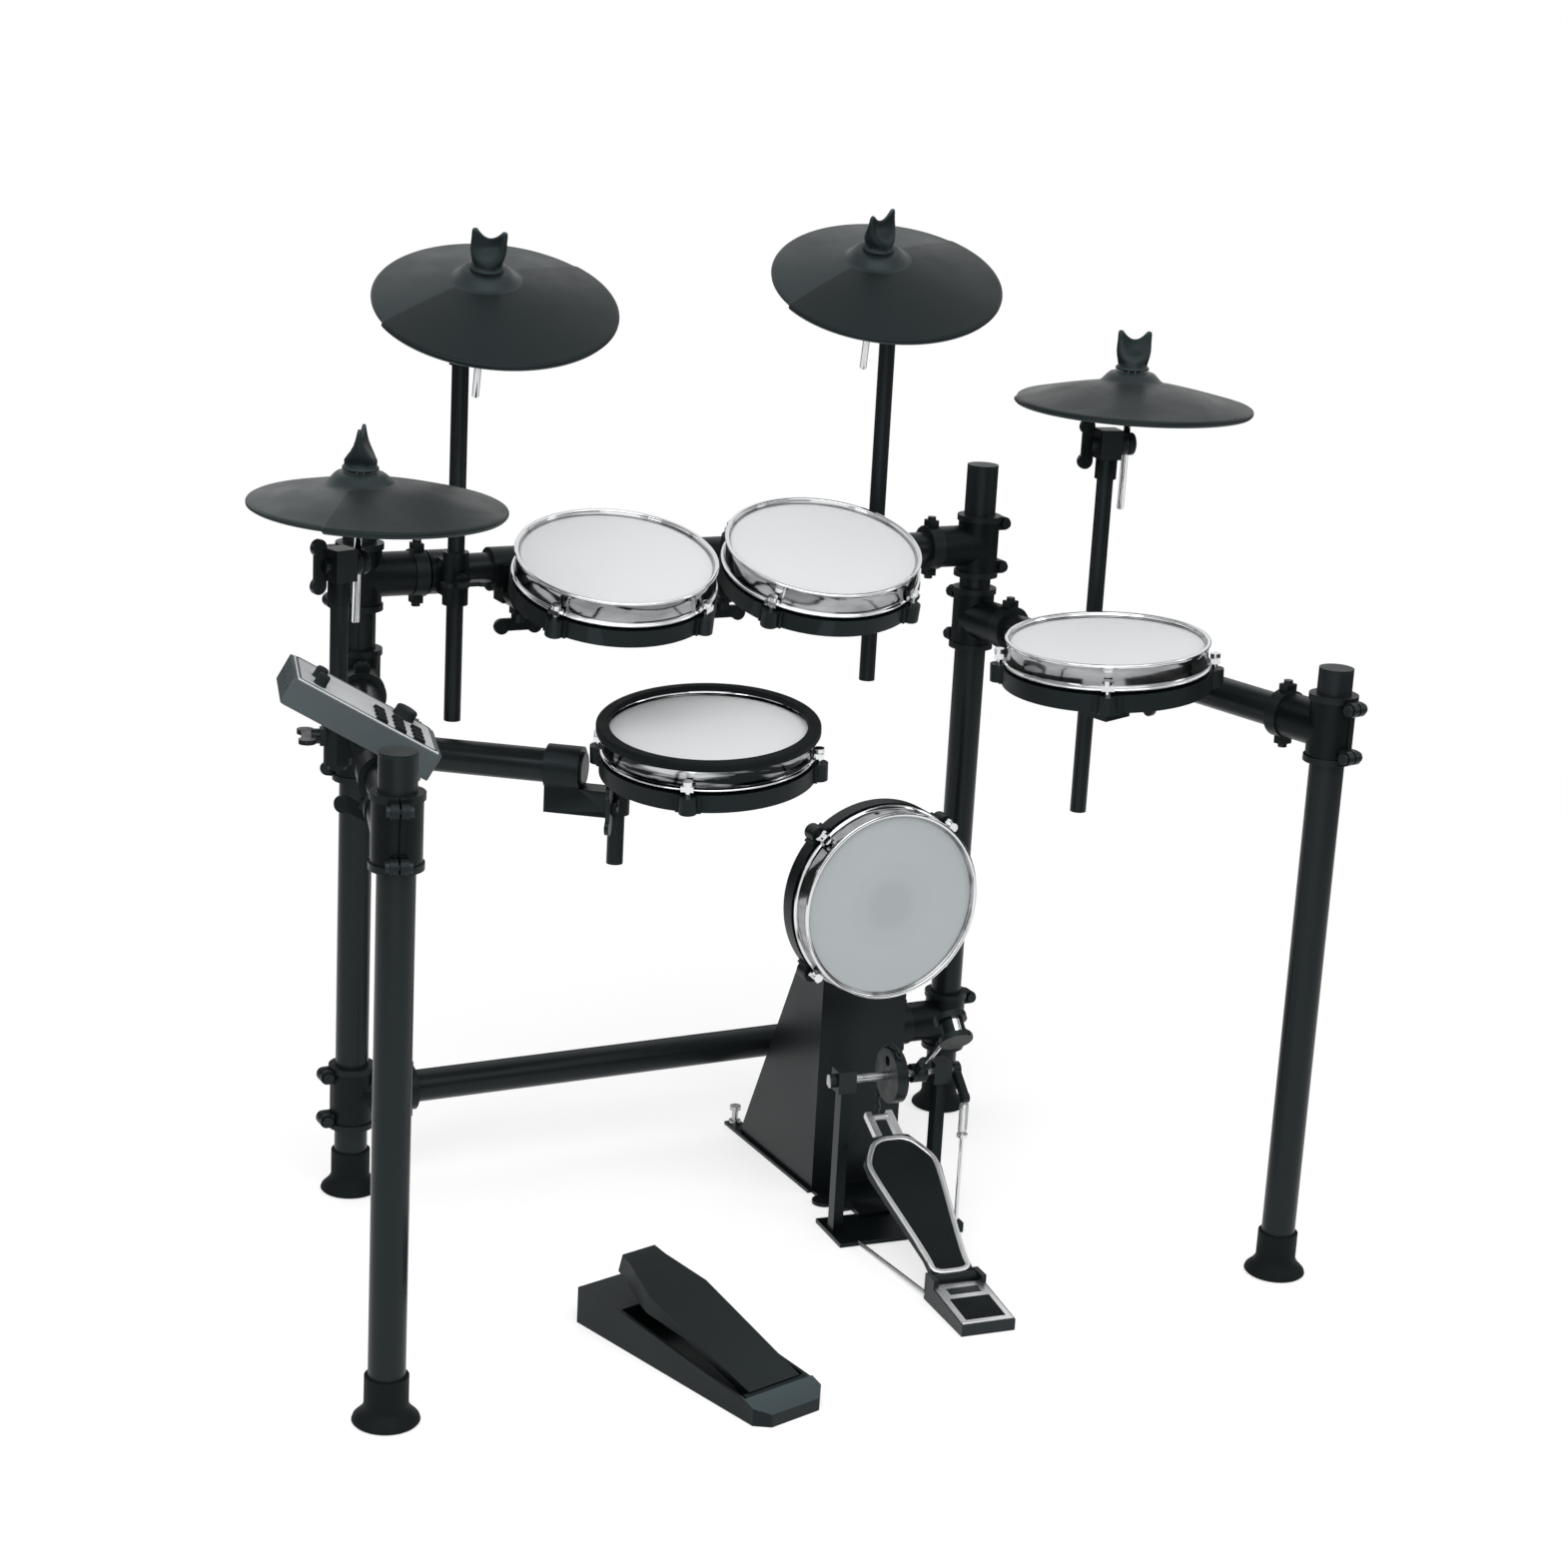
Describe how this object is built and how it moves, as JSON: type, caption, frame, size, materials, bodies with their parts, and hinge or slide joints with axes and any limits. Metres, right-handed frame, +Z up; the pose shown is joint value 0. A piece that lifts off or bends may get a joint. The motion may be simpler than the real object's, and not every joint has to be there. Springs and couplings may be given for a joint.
{
  "type": "electronic drum kit",
  "caption": "Electronic drum kit on a tube rack: mesh pads, rubber cymbals on tilting rods, a kick tower with a beater pedal, a hi-hat control pedal and a sound module.",
  "frame": {"origin": "middle of the kit's bounding box, on the floor", "axes": "+Z up, +X along the back bars from the drummer's left to right, +Y away from the drummer"},
  "size_m": [1.1764, 0.7762, 1.1553],
  "materials": {
    "black_paint": "satin black powder coat",
    "black_plastic": "moulded matt black",
    "black_rubber": "matt",
    "chrome": "bright plated",
    "cymbal_rubber": "matt dark grey",
    "grey_plastic": "fine texture",
    "mesh": "woven mesh",
    "panel_plastic": "satin light grey",
    "pedal_alu": "black coated casting with bright edge",
    "sensor": "plain",
    "steel": "zinc plated"
  },
  "bodies": {
    "rack": {"rack_posts": "black_paint", "post_caps": "black_plastic", "rubber_feet": "black_rubber", "cross_bars": "black_paint", "rack_arms": "black_paint", "tee_clamps": "black_plastic", "clamp_screws": "black_plastic", "tube_clamps": "black_plastic", "cymbal_stands": "black_paint", "pad_rods": "black_paint", "kick_tower": "black_paint", "pedal_frame": "black_paint", "pedal_spring": "chrome", "hihat_pedal_base": "black_plastic", "kick_shell": "black_plastic", "kick_hoop": "chrome", "kick_head": "mesh", "kick_tension_rods": "chrome", "kick_trigger": "sensor"},
    "snare_pad": {"snare_shell": "black_plastic", "snare_hoop": "chrome", "snare_head": "mesh", "snare_tension_rods": "chrome", "snare_trigger": "sensor", "snare_rim": "black_rubber"},
    "tom_left_pad": {"tom_left_shell": "black_plastic", "tom_left_hoop": "chrome", "tom_left_head": "mesh", "tom_left_tension_rods": "chrome", "tom_left_trigger": "sensor"},
    "tom_middle_pad": {"tom_middle_shell": "black_plastic", "tom_middle_hoop": "chrome", "tom_middle_head": "mesh", "tom_middle_tension_rods": "chrome", "tom_middle_trigger": "sensor"},
    "tom_right_pad": {"tom_right_shell": "black_plastic", "tom_right_hoop": "chrome", "tom_right_head": "mesh", "tom_right_tension_rods": "chrome", "tom_right_trigger": "sensor"},
    "hihat_tilter": {"hihat_spindle": "steel"},
    "hihat_plate": {"hihat_cymbal": "cymbal_rubber"},
    "crash_left_tilter": {"crash_left_spindle": "steel"},
    "crash_left_plate": {"crash_left_cymbal": "cymbal_rubber"},
    "crash_right_tilter": {"crash_right_spindle": "steel"},
    "crash_right_plate": {"crash_right_cymbal": "cymbal_rubber"},
    "ride_tilter": {"ride_spindle": "steel"},
    "ride_plate": {"ride_cymbal": "cymbal_rubber"},
    "kick_board": {"pedal_footboard": "pedal_alu"},
    "kick_chain": {"pedal_chain": "steel"},
    "kick_beater": {"pedal_axle": "steel", "pedal_beater": "black_plastic"},
    "hihat_board": {"hihat_pedal_board": "black_plastic"},
    "module": {"module_case": "grey_plastic", "module_panel": "panel_plastic", "module_keypad": "black_rubber", "module_bracket": "black_plastic"},
    "module_dial_body": {"module_dial": "black_plastic"},
    "module_knob_left_body": {"module_knob_left": "black_plastic"},
    "module_knob_right_body": {"module_knob_right": "black_plastic"}
  },
  "joints": [
    {"name": "snare_tilt", "type": "hinge", "parent": "rack", "child": "snare_pad", "pos_m": [-0.0473, 0.07901, 0.5305], "axis": [0.7486, -0.6631, 0], "range_deg": [-12, 12]},
    {"name": "tom_left_tilt", "type": "hinge", "parent": "rack", "child": "tom_left_pad", "pos_m": [-0.12704, 0.18099, 0.71059], "axis": [0.9799, -0.1994, 0], "range_deg": [-10, 10]},
    {"name": "tom_middle_tilt", "type": "hinge", "parent": "rack", "child": "tom_middle_pad", "pos_m": [0.12941, 0.18318, 0.71128], "axis": [0.9799, -0.1994, 0], "range_deg": [-10, 10]},
    {"name": "tom_right_tilt", "type": "hinge", "parent": "rack", "child": "tom_right_pad", "pos_m": [0.34522, -0.10526, 0.64916], "axis": [0.1909, -0.9816, 0], "range_deg": [-10, 10]},
    {"name": "hihat_tilt", "type": "hinge", "parent": "rack", "child": "hihat_tilter", "pos_m": [-0.46974, 0.10133, 0.798], "axis": [0.9563, 0.2924, 0], "range_deg": [-15, 15]},
    {"name": "hihat_rock", "type": "hinge", "parent": "hihat_tilter", "child": "hihat_plate", "pos_m": [-0.44801, 0.10549, 0.87796], "axis": [0.9563, 0.2924, 0], "range_deg": [-5, 5], "stiffness_Nm_per_rad": 4},
    {"name": "crash_left_tilt", "type": "hinge", "parent": "rack", "child": "crash_left_tilter", "pos_m": [-0.27072, 0.28689, 1.013], "axis": [0.9744, -0.225, 0], "range_deg": [-20, 10]},
    {"name": "crash_left_rock", "type": "hinge", "parent": "crash_left_tilter", "child": "crash_left_plate", "pos_m": [-0.25417, 0.26077, 1.06678], "axis": [0.9744, -0.225, 0], "range_deg": [-5, 5], "stiffness_Nm_per_rad": 4},
    {"name": "crash_right_tilt", "type": "hinge", "parent": "rack", "child": "crash_right_tilter", "pos_m": [0.26128, 0.28689, 1.034], "axis": [-0.9397, 0.342, 0], "range_deg": [-10, 20]},
    {"name": "crash_right_rock", "type": "hinge", "parent": "crash_right_tilter", "child": "crash_right_plate", "pos_m": [0.23286, 0.27312, 1.08739], "axis": [-0.9397, 0.342, 0], "range_deg": [-5, 5], "stiffness_Nm_per_rad": 4},
    {"name": "ride_tilt", "type": "hinge", "parent": "rack", "child": "ride_tilter", "pos_m": [0.43748, 0.0716, 0.903], "axis": [0.9848, -0.1736, 0], "range_deg": [-15, 15]},
    {"name": "ride_rock", "type": "hinge", "parent": "ride_tilter", "child": "ride_plate", "pos_m": [0.45904, 0.0672, 0.971], "axis": [0.9848, -0.1736, 0], "range_deg": [-5, 5], "stiffness_Nm_per_rad": 4},
    {"name": "kick_board_press", "type": "hinge", "parent": "rack", "child": "kick_board", "pos_m": [0.15229, -0.18936, 0.024], "axis": [-0.9962, 0.0872, 0], "range_deg": [0, 10.2], "stiffness_Nm_per_rad": 6, "springref_deg": -20.05},
    {"name": "kick_beater_swing", "type": "hinge", "parent": "rack", "child": "kick_beater", "pos_m": [0.16928, 0.00489, 0.19], "axis": [-0.9962, 0.0872, 0], "range_deg": [0, 71.4], "deforming": ["pedal_spring"]},
    {"name": "kick_chain_swing", "type": "hinge", "parent": "kick_board", "child": "kick_chain", "pos_m": [0.17163, 0.03174, 0.1275], "axis": [0.9962, -0.0872, 0], "range_deg": [0, 18.77]},
    {"name": "hihat_board_press", "type": "hinge", "parent": "rack", "child": "hihat_board", "pos_m": [-0.14923, -0.34719, 0.016], "axis": [-0.9681, -0.2504, 0], "range_deg": [0, 4.5], "stiffness_Nm_per_rad": 6, "springref_deg": -20.05},
    {"name": "module_tilt", "type": "hinge", "parent": "rack", "child": "module", "pos_m": [-0.47528, -0.05283, 0.615], "axis": [0.2681, 0.9634, 0], "range_deg": [-15, 15]},
    {"name": "module_dial_turn", "type": "hinge", "parent": "module", "child": "module_dial_body", "pos_m": [-0.44655, -0.02968, 0.66713], "axis": [0.4671, -0.13, 0.8746], "continuous": true},
    {"name": "module_knob_left_turn", "type": "hinge", "parent": "module", "child": "module_knob_left_body", "pos_m": [-0.54552, -0.06234, 0.71513], "axis": [0.4671, -0.13, 0.8746], "range_deg": [-150, 150]},
    {"name": "module_knob_right_turn", "type": "hinge", "parent": "module", "child": "module_knob_right_body", "pos_m": [-0.53801, -0.03537, 0.71513], "axis": [0.4671, -0.13, 0.8746], "range_deg": [-150, 150]}
  ],
  "couplings": [
    {"joint": "kick_beater_swing", "follows": "kick_board_press", "ratio": 7},
    {"joint": "kick_chain_swing", "follows": "kick_board_press", "ratio": 1.84}
  ]
}
